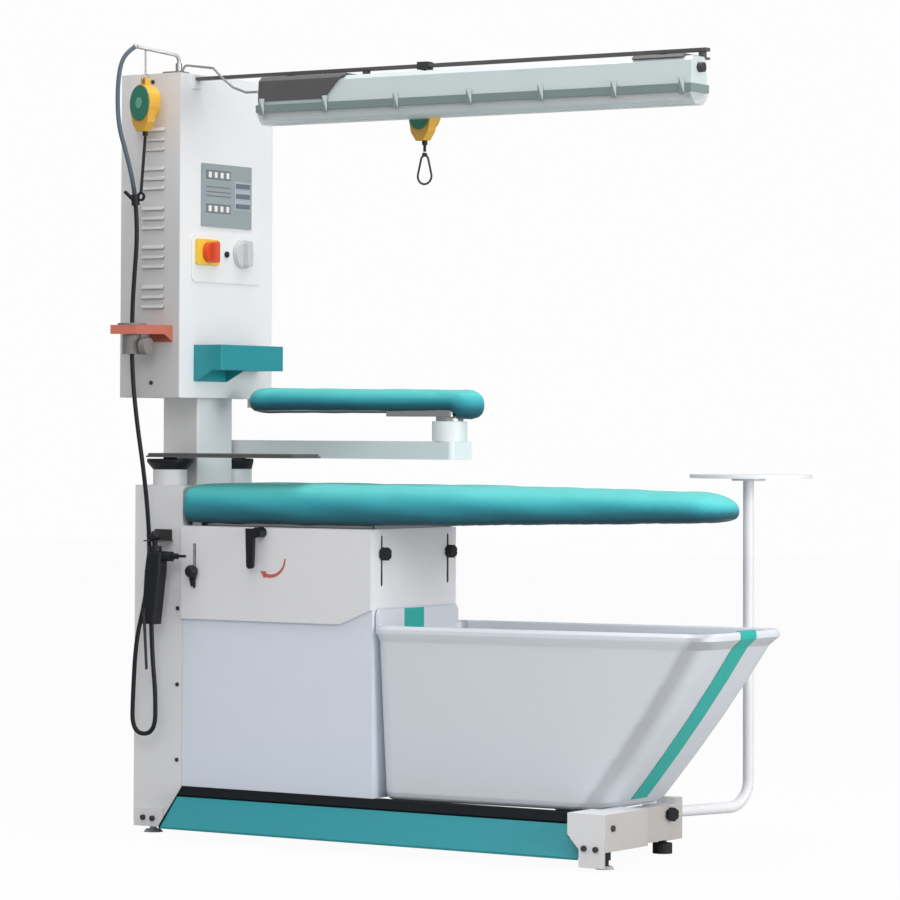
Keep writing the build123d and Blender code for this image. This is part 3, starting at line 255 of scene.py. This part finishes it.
WHITE = (0.80, 0.80, 0.815)
M = {
    "white": surface("m_white_paint", WHITE, 0.42, spread=0.015, bump=0.03, grain=420),
    "white_in": surface("m_white_plate", (0.79, 0.79, 0.79), 0.5, spread=0.015),
    # trough: painted shade, the ramp by the normal's X darkens faces turned part way to the right (the rounded
    # right-hand corner) to about 0.6
    "trough": surface("m_trough", (0.74, 0.775, 0.83), 0.34, spread=0.02, scale=3.0, bump=0.02, grain=90, edge=0.004, shade_by_normal_x=[(0.0, 1.0), (0.53, 1.0), (0.66, 0.62), (0.78, 0.60), (0.89, 0.86), (1.0, 0.95)]),
    "teal_paint": surface("m_teal_paint", (0.014, 0.27, 0.31), 0.42, spread=0.04, bump=0.04, grain=420),
    "teal_trim": surface("m_teal_trim", (0.015, 0.42, 0.36), 0.5, spread=0.04, edge=0),
    "black": surface("m_black_plastic", (0.010, 0.011, 0.015), 0.42, spread=0.1, bump=0.08, grain=700, spec=0.3),
    # kick plate: a black plate, made darker and less shiny than the black plastic as painted shade of the gap under
    # the cabinet
    "kick_shade_black": surface("m_kick_shade_black", (0.006, 0.008, 0.010), 0.6, spread=0.1, spec=0.12),
    "rubber": surface("m_rubber", (0.014, 0.015, 0.016), 0.75, spread=0.1, bump=0.1, grain=900),
    "hose": surface("m_hose", (0.14, 0.17, 0.22), 0.5, spread=0.1, bump=0.15, grain=1500, edge=0, spec=0.3, height=(0.9, 1.9, [(0.0, 0.07), (0.62, 0.09), (0.69, 0.55), (1.0, 1.0)])),
    "dark": surface("m_dark_steel", (0.045, 0.042, 0.045), 0.45, metal=0.2, spread=0.1),
    "zinc": surface("m_zinc", (0.50, 0.50, 0.50), 0.32, metal=1.0, spread=0.06, bump=0.05, grain=160, stretch=(1, 14, 14)),
    "cast": surface("m_grey_cast", (0.16, 0.17, 0.18), 0.6, spread=0.08, bump=0.15, grain=500),
    "panel": surface("m_grey_panel", (0.30, 0.345, 0.36), 0.5, spread=0.03),
    "panel_dark": surface("m_panel_dark", (0.135, 0.16, 0.19), 0.5, spread=0.03, edge=0),
    "panel_light": surface("m_panel_light", (0.42, 0.47, 0.52), 0.5, spread=0.03, edge=0),
    "pale": surface("m_pale_plastic", (0.55, 0.57, 0.60), 0.4, spread=0.03),
    "silver": surface("m_selector", (0.62, 0.62, 0.64), 0.3, metal=0.15, spread=0.04, coat=0.3),
    "yellow": surface("m_yellow", (0.74, 0.40, 0.035), 0.34, spread=0.05, coat=0.2),
    "plate_yellow": surface("m_plate_yellow", (0.83, 0.55, 0.05), 0.38, spread=0.03),
    "green": surface("m_green", (0.02, 0.21, 0.135), 0.42, spread=0.06),
    "green_mark": surface("m_green_mark", (0.16, 0.42, 0.30), 0.4, spread=0.05),
    "red": surface("m_red", (0.72, 0.075, 0.02), 0.35, spread=0.04, coat=0.2),
    "orange": surface("m_orange", (0.52, 0.14, 0.09), 0.45, spread=0.04),
    "guide": surface("m_guide_knob", (0.22, 0.21, 0.20), 0.5, spread=0.08),
    # front cover: painted shade, the ramp by height darkens the lower part of the cover to about three quarters
    "front_cover": surface("m_front_cover_shade_ramp", (0.80, 0.79, 0.79), 0.42, spread=0.015, bump=0.03, grain=420, height=(1.06, 1.85, [(0.0, 0.74), (0.45, 0.76), (0.9, 1.0)])),
    # painted shade: a separate copy of the white for the column's front faces, now nearly the same colour
    "column_shade": surface("m_column_front_shade", (0.80, 0.80, 0.80), 0.42, spread=0.015, bump=0.03, grain=420),
    "panel_white": surface("m_front_paint", (0.75, 0.80, 0.88), 0.42, spread=0.015, bump=0.03, grain=420),
    # painted shade: darker beige-grey for the base frame's right-facing faces
    "frame_side_shade": surface("m_frame_side_shade", (0.50, 0.475, 0.455), 0.45, spread=0.03, bump=0.03, grain=420),
    "rail": surface("m_rail", (0.10, 0.098, 0.10), 0.45, metal=0.1, spread=0.08),
    "seam": surface("m_lamp_seam", (0.20, 0.27, 0.26), 0.4, spread=0.04),
    "lamp": surface("m_lamp_shell", (0.60, 0.68, 0.68), 0.3, spread=0.03, coat=0.2),
    "tube": surface("m_tube", (0.78, 0.79, 0.80), 0.25, spread=0.02, edge=0),
    "mat": surface("m_rest_mat", (0.10, 0.10, 0.10), 0.7, spread=0.1, bump=0.2, grain=500),
    "light": surface("m_digits", (0.80, 0.80, 0.78), 0.4, spread=0.02, edge=0),
    "arrow": surface("m_arrow", (0.60, 0.13, 0.09), 0.5, spread=0.03, edge=0),
    "lead": surface("m_lead", (0.28, 0.28, 0.28), 0.5, spread=0.05, edge=0),
    # fabric: painted shade, the ramp by the normal's height runs from dark teal on faces turned down to light teal on
    # faces turned up
    "fabric": woven("m_fabric", [(0.15, (0.005, 0.065, 0.095)), (0.40, (0.010, 0.14, 0.185)), (0.52, (0.022, 0.30, 0.37)), (0.66, (0.045, 0.45, 0.49)), (0.85, (0.10, 0.58, 0.57))]),
    "diffuser": clear("m_diffuser", (0.95, 1.0, 1.0), 0.18, 0.45, alpha=0.50),
    "window": clear("m_readout_glass", (0.20, 0.23, 0.25), 0.3, 0.0, 20),
}
use = {
    "white": "base_frame tower_shell board_housing apron_panel column control_box_shell sleeve_arm side_stand",
    "white_in": "switch_plate",
    "front_cover": "box_front_cover",
    "panel_white": "cabinet_shell cabinet_front_panel",
    "trough": "garment_trough",
    "teal_paint": "foot_pedal side_tray",
    "teal_trim": "trough_stripe",
    "rubber": "levelling_feet",
    "dark": "bolts_and_gun_hook snap_hook gun_trigger",
    "rail": "boom_rail",
    "black": "clamp_knob_front clamp_knob_right_near clamp_knob_right_far lock_lever pivot_and_guide_bushes stand_knob gun_body hose_clamp",
    # the kick plate takes the near-black painted shade
    "kick_shade_black": "kick_plate",
    "zinc": "pedal_spring board_pan board_grid board_lift_frame impeller balancer_arm sleeve_board_plate",
    "cast": "blower_and_ducts control_gear",
    "panel": "display_panel",
    "window": "readouts_and_pilot",
    "panel_dark": "display_button_1 display_button_2 display_button_3",
    "silver": "selector_knob",
    "plate_yellow": "main_switch_plate",
    "red": "main_switch_handle",
    "orange": "hose_guide_bracket",
    "guide": "guide_knob",
    "yellow": "balancer_left balancer_right",
    "lamp": "lamp_upper_tray",
    "diffuser": "lamp_diffuser",
    "tube": "lamp_tubes",
    "mat": "iron_rest_mat iron_rest_plate",
    "fabric": "board_cover sleeve_pad",
    "hose": "steam_hose",
}
for key, names in use.items():
    for n in names.split():
        nodes[n].data.materials.clear()
        nodes[n].data.materials.append(M[key])


def paint(node, test, *keys):
    """Give faces of a CAD node another material, chosen by the face centre and normal in machine millimetres."""
    me = nodes[node].data
    first = len(me.materials)
    for k in keys:
        me.materials.append(M[k])
    mw = nodes[node].matrix_world
    for p in me.polygons:
        c = mw @ p.center
        i = test(c.x * 1000 + SX, c.y * 1000 + SY, c.z * 1000, mw.to_3x3() @ p.normal)
        if i is not None:
            p.material_index = first + i


def balancer_face(bx, by, bz, angle):
    a = math.radians(angle)

    def test(x, y, z, n):
        dx, dy = x - bx, y - by
        u = dx * math.cos(a) + dy * math.sin(a)
        v = -dx * math.sin(a) + dy * math.cos(a)
        r = math.hypot(u, z - bz - 4)
        if v < -19.2 and r < 14.5:
            return 1
        if v < -16.05 and r < 43.5:
            return 0
        if abs(u) < 7 and z < bz - 65.2:
            return 2
        return None

    return test


paint("balancer_left", balancer_face(77.5, -73.5, 1770.0, -22.0), "green", "green_mark", "black")


def right_faces(x, y, z, n):
    if z > 1812 or (z > 1777 and abs(x - 810) < 5):
        return 3
    if z < 1660:
        return 2
    return balancer_face(810.0, 38.0, 1727.0, -22.0)(x, y, z, n)


paint("balancer_right", right_faces, "green", "green_mark", "black", "dark")
nodes["lamp_fittings"].data.materials[0] = M["seam"]
paint("lamp_fittings", lambda x, y, z, n: 1 if (x < 392 and (z > 1786 or x < 350)) else (2 if x > 1583 and z > 1775 else (3 if z > 1753.2 else 0)), "seam", "lead", "dark", "lamp")
paint("boom_rail", lambda x, y, z, n: 0 if x < 154.4 else None, "white")
# painted shade on the base frame's right-facing faces at the right end
paint("base_frame", lambda x, y, z, n: 0 if x > 1240 and n.x > 0.5 and x < 1372 else (1 if x > 1372 and n.x > 0.5 else None), "frame_side_shade", "frame_side_shade")
# painted shade on the column's front faces above 900 mm
paint("column", lambda x, y, z, n: 0 if n.y < -0.9 and y < 110 and z > 900 else None, "column_shade")
paint("levelling_feet", lambda x, y, z, n: 0 if x < 700 or (y < 100 and z < 7.2) else None, "pale")
paint("readouts_and_pilot", lambda x, y, z, n: 0 if z < 1430 else None, "black")
paint("pivot_and_guide_bushes", lambda x, y, z, n: 0 if z > 1100 else None, "guide")


# ---------------------------------------------------------------- camera and light
cam = bpy.data.objects.new("camera", bpy.data.cameras.new("camera"))
scene.collection.objects.link(cam)
cam.location = (4.903543, -7.966253, 0.977011)
cam.rotation_euler = (math.radians(91.9585755), math.radians(-0.27543599), math.radians(34.29534012))
cam.data.sensor_width = 36
cam.data.lens = 155.475692
cam.data.shift_x, cam.data.shift_y = 0.173057, -0.167321
cam.data.clip_start, cam.data.clip_end = 0.1, 60
scene.camera = cam
scene.view_settings.view_transform = "Standard"
scene.view_settings.look = "None"
scene.view_settings.exposure = 0.0

world = bpy.data.worlds.new("world")
scene.world = world
world.use_nodes = True
wn, wl = world.node_tree.nodes, world.node_tree.links
wn.clear()
wout = wn.new("ShaderNodeOutputWorld")
lp = wn.new("ShaderNodeLightPath")
bg_cam, bg_light = wn.new("ShaderNodeBackground"), wn.new("ShaderNodeBackground")
bg_cam.inputs[0].default_value = (0.985, 0.985, 0.985, 1)
bg_cam.inputs[1].default_value = 1.0
geo = wn.new("ShaderNodeTexCoord")
sep = wn.new("ShaderNodeSeparateXYZ")
wl.new(geo.outputs["Generated"], sep.inputs[0])
mr = wn.new("ShaderNodeMapRange")
mr.inputs["From Min"].default_value = -1
mr.inputs["From Max"].default_value = 1
mr.inputs["To Min"].default_value = 0.06
mr.inputs["To Max"].default_value = 0.68
wl.new(sep.outputs["Z"], mr.inputs["Value"])
wl.new(mr.outputs[0], bg_light.inputs[1])
bg_light.inputs[0].default_value = (0.98, 0.99, 1.0, 1)
mixw = wn.new("ShaderNodeMixShader")
wl.new(lp.outputs["Is Camera Ray"], mixw.inputs[0])
wl.new(bg_light.outputs[0], mixw.inputs[1])
wl.new(bg_cam.outputs[0], mixw.inputs[2])
wl.new(mixw.outputs[0], wout.inputs[0])


def area(name, loc, target, size, power, color=(1, 1, 1)):
    d = bpy.data.lights.new(name, "AREA")
    d.shape = "RECTANGLE"
    d.size, d.size_y = size
    d.energy = power
    d.color = color
    o = bpy.data.objects.new(name, d)
    scene.collection.objects.link(o)
    o.location = loc
    o.rotation_mode = "QUATERNION"
    o.rotation_quaternion = (Vector(target) - Vector(loc)).to_track_quat("-Z", "Y")
    return o


area("key", (2.4, -5.6, 3.8), (0, 0, 0.9), (3.0, 3.0), 96)
area("top", (0.2, -0.6, 5.2), (0, 0, 0.8), (3.4, 3.4), 125)
area("right", (5.2, -0.8, 1.5), (0.1, 0.1, 0.9), (2.4, 2.4), 150)

floor_me = bpy.data.meshes.new("floor")
floor_me.from_pydata([(-20, -14, 0), (20, -14, 0), (20, 20, 0), (-20, 20, 0)], [], [(0, 1, 2, 3)])
floor = bpy.data.objects.new("floor", floor_me)
scene.collection.objects.link(floor)
fm, fnt, fbs, fout = new_mat("m_floor")
fN, fL = fnt.nodes, fnt.links
fN.remove(fbs)
dif, em, mixf = fN.new("ShaderNodeBsdfDiffuse"), fN.new("ShaderNodeEmission"), fN.new("ShaderNodeMixShader")
dif.inputs[0].default_value = (0.45, 0.45, 0.45, 1)
em.inputs[0].default_value = (0.985, 0.985, 0.985, 1)
em.inputs[1].default_value = 1.034
lpf = fN.new("ShaderNodeLightPath")
mul = fN.new("ShaderNodeMath")
mul.operation = "MULTIPLY"
mul.inputs[1].default_value = 0.94
fL.new(lpf.outputs["Is Camera Ray"], mul.inputs[0])
fL.new(mul.outputs[0], mixf.inputs[0])
fL.new(dif.outputs[0], mixf.inputs[1])
fL.new(em.outputs[0], mixf.inputs[2])
fL.new(mixf.outputs[0], fout.inputs[0])
floor_me.materials.append(fm)
floor.location.z = -0.0005


# ---------------------------------------------------------------- padded covers
def plan(x0, x1, y0, y1, r, nose, taper, inset, n_side=60):
    """Outline of the board seen from above, a list of points, in machine millimetres."""
    x0, x1, y0, y1 = x0 + inset, x1 - inset, y0 + inset, y1 - inset
    r, nose = max(r - inset, 3), max(nose - inset, 8)
    yc = (y0 + y1) / 2
    half = (y1 - y0) / 2
    cxn = x1 - nose
    # tangent from (taper, yc+half) to the nose circle
    dx, dy = cxn - taper, -half
    d = math.hypot(dx, dy)
    base = math.atan2(dy, dx)
    off = math.acos(max(-1, min(1, nose / d)))
    ang = base + math.pi - off
    tx, ty = cxn + nose * math.cos(ang), yc + nose * math.sin(ang)
    if ty < yc:
        ang = base + math.pi + off
        tx, ty = cxn + nose * math.cos(ang), yc + nose * math.sin(ang)
    top = [(x0 + r, y1), (taper, y1), (tx, ty)]
    pts = [(x0, y0 + r)]
    pts.append((x0, y1 - r))
    for i in range(1, 8):
        a = math.pi - i * math.pi / 16
        pts.append((x0 + r + r * math.cos(a), y1 - r + r * math.sin(a)))
    pts += top
    a0 = math.atan2(ty - yc, tx - cxn)
    for i in range(1, 24):
        a = a0 - 2 * a0 * i / 24
        pts.append((cxn + nose * math.cos(a), yc + nose * math.sin(a)))
    pts += [(tx, 2 * yc - ty), (taper, y0), (x0 + r, y0)]
    for i in range(1, 8):
        a = -math.pi / 2 - i * math.pi / 16
        pts.append((x0 + r + r * math.cos(a), y0 + r + r * math.sin(a)))
    return resample(pts, 260)


def resample(pts, n):
    p = np.array(pts + [pts[0]], float)
    seg = np.hypot(*(p[1:] - p[:-1]).T)
    s = np.r_[0, np.cumsum(seg)]
    t = np.linspace(0, s[-1], n, endpoint=False)
    return np.c_[np.interp(t, s, p[:, 0]), np.interp(t, s, p[:, 1])]


def lofted(name, rings, close=True):
    verts, faces = [], []
    n = len(rings[0])
    for ring in rings:
        verts += [tuple(P(*v)) for v in ring]
    for k in range(len(rings) - 1):
        for i in range(n):
            j = (i + 1) % n
            faces.append((k * n + i, k * n + j, (k + 1) * n + j, (k + 1) * n + i))
    faces.append(tuple(reversed(range(n))))
    faces.append(tuple((len(rings) - 1) * n + i for i in range(n)))
    me = bpy.data.meshes.new(name)
    me.from_pydata(verts, [], faces)
    me.validate()
    bm = bmesh.new()
    bm.from_mesh(me)
    bmesh.ops.recalc_face_normals(bm, faces=bm.faces)
    bm.to_mesh(me)
    bm.free()
    o = bpy.data.objects.new(name, me)
    scene.collection.objects.link(o)
    return o


def apply(o, mod):
    with bpy.context.temp_override(object=o, active_object=o, selected_objects=[o]):
        bpy.ops.object.modifier_apply(modifier=mod)


def fill_out(o, voxel, pressure, cap, lumps):
    """Remesh, let the cloth fill out under pressure for 20 frames, and cap how far a point moves."""
    m = o.modifiers.new("remesh", "REMESH")
    m.mode = "VOXEL"
    m.voxel_size = voxel
    apply(o, "remesh")
    rest = np.array([v.co for v in o.data.vertices], float)
    c = o.modifiers.new("cloth", "CLOTH")
    s = c.settings
    s.quality = 4
    s.mass = 0.25
    s.tension_stiffness = s.compression_stiffness = 12
    s.shear_stiffness = 4
    s.bending_stiffness = 0.6
    s.use_pressure = True
    s.uniform_pressure_force = pressure
    s.effector_weights.gravity = 0
    c.collision_settings.use_collision = False
    c.point_cache.frame_start, c.point_cache.frame_end = 1, 20
    for f in range(1, 21):
        scene.frame_set(f)
    apply(o, "cloth")
    scene.frame_set(1)
    co = np.array([v.co for v in o.data.vertices], float)
    d = co - rest
    ln = np.linalg.norm(d, axis=1)
    k = np.where(ln > cap, cap / np.maximum(ln, 1e-9), 1.0)
    co = rest + d * k[:, None]
    nrm = np.array([v.normal for v in o.data.vertices], float)
    co += nrm * lumps(co)[:, None]
    o.data.vertices.foreach_set("co", co.ravel())
    o.data.update()
    s = o.modifiers.new("smooth", "SMOOTH")
    s.factor, s.iterations = 0.5, 6
    apply(o, "smooth")
    o.data.polygons.foreach_set("use_smooth", [True] * len(o.data.polygons))


def board_rings():
    rings = []
    prof = [(34, 0.0), (20, 0.0), (12, 0.015), (6, 0.08), (2.5, 0.20), (0.8, 0.35), (0.5, 0.50), (3.0, 0.64), (8.5, 0.78), (17, 0.89), (31, 0.965), (60, 0.995), (110, 1.0)]
    for inset, t in prof:
        ring = []
        for x, y in plan(145.5, 1560, -20, 380, 14, 88, 850, inset):
            bot = 759.0 + max(0.0, x - 700) / 900 * 22 + 4.5 * max(0.0, (x - 1440) / 112) ** 2
            top = 849.5 - 7 * min(1.0, max(0.0, (x - 850) / 600)) - 11 * max(0.0, (x - 1430) / 122) ** 2
            # the left end stands nearly upright
            x -= 0.6 * min(inset, 20) * max(0.0, 1 - (x - 145.5 - inset) / 40)
            ring.append((x, y, bot + (top - bot) * t))
        rings.append(ring)
    return rings


def wave(co):
    """Shallow, seeded unevenness of a tied cover."""
    x, y, z = co[:, 0], co[:, 1], co[:, 2]
    return 0.0007 * np.sin(31 * x + 7 * y) + 0.0005 * np.sin(63 * x - 21 * y + 1.3) + 0.0005 * np.sin(17 * x + 90 * z)


board = lofted("board_cover_soft", board_rings())
fill_out(board, 0.0065, 4.0, 0.004, wave)
# open underside: the cover is tied under the board and leaves its pan free
bm = bmesh.new()
bm.from_mesh(board.data)
inner = plan(145.5, 1560, -20, 380, 14, 88, 850, 34)


def inside(x, y, poly):
    c = False
    n = len(poly)
    j = n - 1
    for i in range(n):
        if (poly[i][1] > y) != (poly[j][1] > y) and x < (poly[j][0] - poly[i][0]) * (y - poly[i][1]) / (poly[j][1] - poly[i][1]) + poly[i][0]:
            c = not c
        j = i
    return c


small = [tuple(p) for p in inner[::4]]
drop = [f for f in bm.faces if f.normal.z < -0.8 and inside(f.calc_center_median().x * 1000 + SX, f.calc_center_median().y * 1000 + SY, small)]
bmesh.ops.delete(bm, geom=drop, context="FACES")
bm.to_mesh(board.data)
bm.free()
sol = board.modifiers.new("thick", "SOLIDIFY")
sol.thickness = 0.003
sol.offset = -1
apply(board, "thick")
board.data.polygons.foreach_set("use_smooth", [True] * len(board.data.polygons))
board.data.materials.append(M["fabric"])
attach(board, "main_board")
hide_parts("board_cover")


def sleeve_rings():
    x0, x1, yc, h = 210.0, 874.0, 195.0, 46.0
    prof = [(30, 0.0), (16, 0.03), (6, 0.15), (1.5, 0.34), (1.0, 0.5), (2.5, 0.66), (8, 0.83), (18, 0.95), (30, 1.0), (38, 1.0)]
    rings = []
    for inset, t in prof:
        pts = []
        hh = h - inset
        r = max(hh, 4)
        for i in range(25):
            a = math.pi / 2 + math.pi * i / 24
            pts.append((x0 + inset + r + r * math.cos(a), yc + hh * math.sin(a)))
        for i in range(25):
            a = -math.pi / 2 + math.pi * i / 24
            pts.append((x1 - inset - r + r * math.cos(a), yc + hh * math.sin(a)))
        ring = []
        for x, y in resample(pts, 160):
            k = min(1.0, max(0.0, (x - 806) / 26))
            bot = 1027.0 - 16.0 * k * k * (3 - 2 * k)
            top = 1083.0 - 6.0 * min(1.0, max(0.0, (x - 210) / 600))
            ring.append((x, y, bot + (top - bot) * t))
        rings.append(ring)
    return rings


sleeve = lofted("sleeve_pad_soft", sleeve_rings())
fill_out(sleeve, 0.005, 4.0, 0.003, lambda co: wave(co) * 0.6)
sleeve.data.materials.append(M["fabric"])
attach(sleeve, "sleeve_board")
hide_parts("sleeve_pad")


# ---------------------------------------------------------------- steam hose
HOSE = [(66, -100, 1911), (45, -112, 1895), (28, -114, 1858), (20, -111, 1790), (26, -112, 1715), (50, -112, 1650), (76, -112, 1560), (80, -106, 1450),
        (62, -94, 1350), (46, -80, 1262), (46, -80, 1135), (58, -77, 1010), (74, -66, 880), (70, -40, 760), (58, -18, 655), (46, -22, 560),
        (34, -40, 470), (29, -44, 345), (28, -46, 246), (101, -51, 246), (103, -52, 342), (92, -52, 436), (89, -52, 511.6)]
cu = bpy.data.curves.new("steam_hose_curve", "CURVE")
cu.dimensions = "3D"
cu.bevel_depth = 0.0055
cu.bevel_resolution = 6
cu.resolution_u = 10
cu.use_fill_caps = True
sp = cu.splines.new("NURBS")
sp.points.add(len(HOSE) - 1)
for p, q in zip(sp.points, HOSE):
    p.co = (*P(*q), 1)
sp.order_u = 3
sp.use_endpoint_u = True
hose = bpy.data.objects.new("steam_hose_curve", cu)
scene.collection.objects.link(hose)
cu.materials.append(M["hose"])
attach(hose, "machine")
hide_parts("steam_hose")


# ---------------------------------------------------------------- small marks on the machine
def blocks(name, boxes, mat, body="machine"):
    verts, faces = [], []
    for x0, x1, y0, y1, z0, z1 in boxes:
        b = len(verts)
        for x in (x0, x1):
            for y in (y0, y1):
                for z in (z0, z1):
                    verts.append(tuple(P(x, y, z)))
        faces += [tuple(b + i for i in f) for f in ((0, 1, 3, 2), (4, 6, 7, 5), (0, 4, 5, 1), (2, 3, 7, 6), (0, 2, 6, 4), (1, 5, 7, 3))]
    me = bpy.data.meshes.new(name)
    me.from_pydata(verts, [], faces)
    me.materials.append(M[mat])
    o = bpy.data.objects.new(name, me)
    scene.collection.objects.link(o)
    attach(o, body)
    return o


DX = 152.3
digits = []
for z0 in (1597, 1514):
    for i in range(4):
        y = 88 + i * 25
        digits += [(DX, DX + 0.4, y, y + 12, z0 + 4, z0 + 18)]
blocks("readout_blocks", digits, "light")
marks = []
for z in (1578, 1566, 1556):
    marks.append((152.0, 152.3, 78, 182, z - 1.2, z + 1.2))
blocks("panel_lines", marks, "panel_dark")
blocks("panel_frames", [(152.0, 152.25, 200, 266, 1525, 1596)], "panel_light")


def arrow():
    """Red curved turn arrow on the apron: an arc about the lever's hub with a pointed head."""
    cx_, cz_, r, w, y = 407.4, 676.2, 42.4, 9.5, -8.35
    a0, a1, n = math.radians(0), math.radians(-110), 26
    outer, inner_ = [], []
    for i in range(n + 1):
        t = i / n
        a = a0 + (a1 - a0) * t
        ww = w * (0.45 + 0.55 * t)
        outer.append((cx_ + (r + ww / 2) * math.cos(a), y, cz_ + (r + ww / 2) * math.sin(a)))
        inner_.append((cx_ + (r - ww / 2) * math.cos(a), y, cz_ + (r - ww / 2) * math.sin(a)))
    verts = [tuple(P(*v)) for v in outer + inner_]
    m = len(outer)
    faces = [(i, i + 1, m + i + 1, m + i) for i in range(m - 1)]
    tip = a1 - math.radians(24)
    for rr, aa in ((r + 9.5, a1 + 0.02), (r, tip), (r - 9.5, a1 + 0.02)):
        verts.append(tuple(P(cx_ + rr * math.cos(aa), y, cz_ + rr * math.sin(aa))))
    faces.append((2 * m, 2 * m + 1, 2 * m + 2))
    me = bpy.data.meshes.new("turn_arrow")
    me.from_pydata(verts, [], faces)
    bm_ = bmesh.new()
    bm_.from_mesh(me)
    bmesh.ops.recalc_face_normals(bm_, faces=bm_.faces)
    ret = bmesh.ops.extrude_face_region(bm_, geom=list(bm_.faces))
    for v in [g for g in ret["geom"] if isinstance(g, bmesh.types.BMVert)]:
        v.co.y += 0.0003
    bmesh.ops.recalc_face_normals(bm_, faces=bm_.faces)
    bm_.to_mesh(me)
    bm_.free()
    me.materials.append(M["arrow"])
    o = bpy.data.objects.new("turn_arrow", me)
    scene.collection.objects.link(o)
    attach(o, "machine")


arrow()
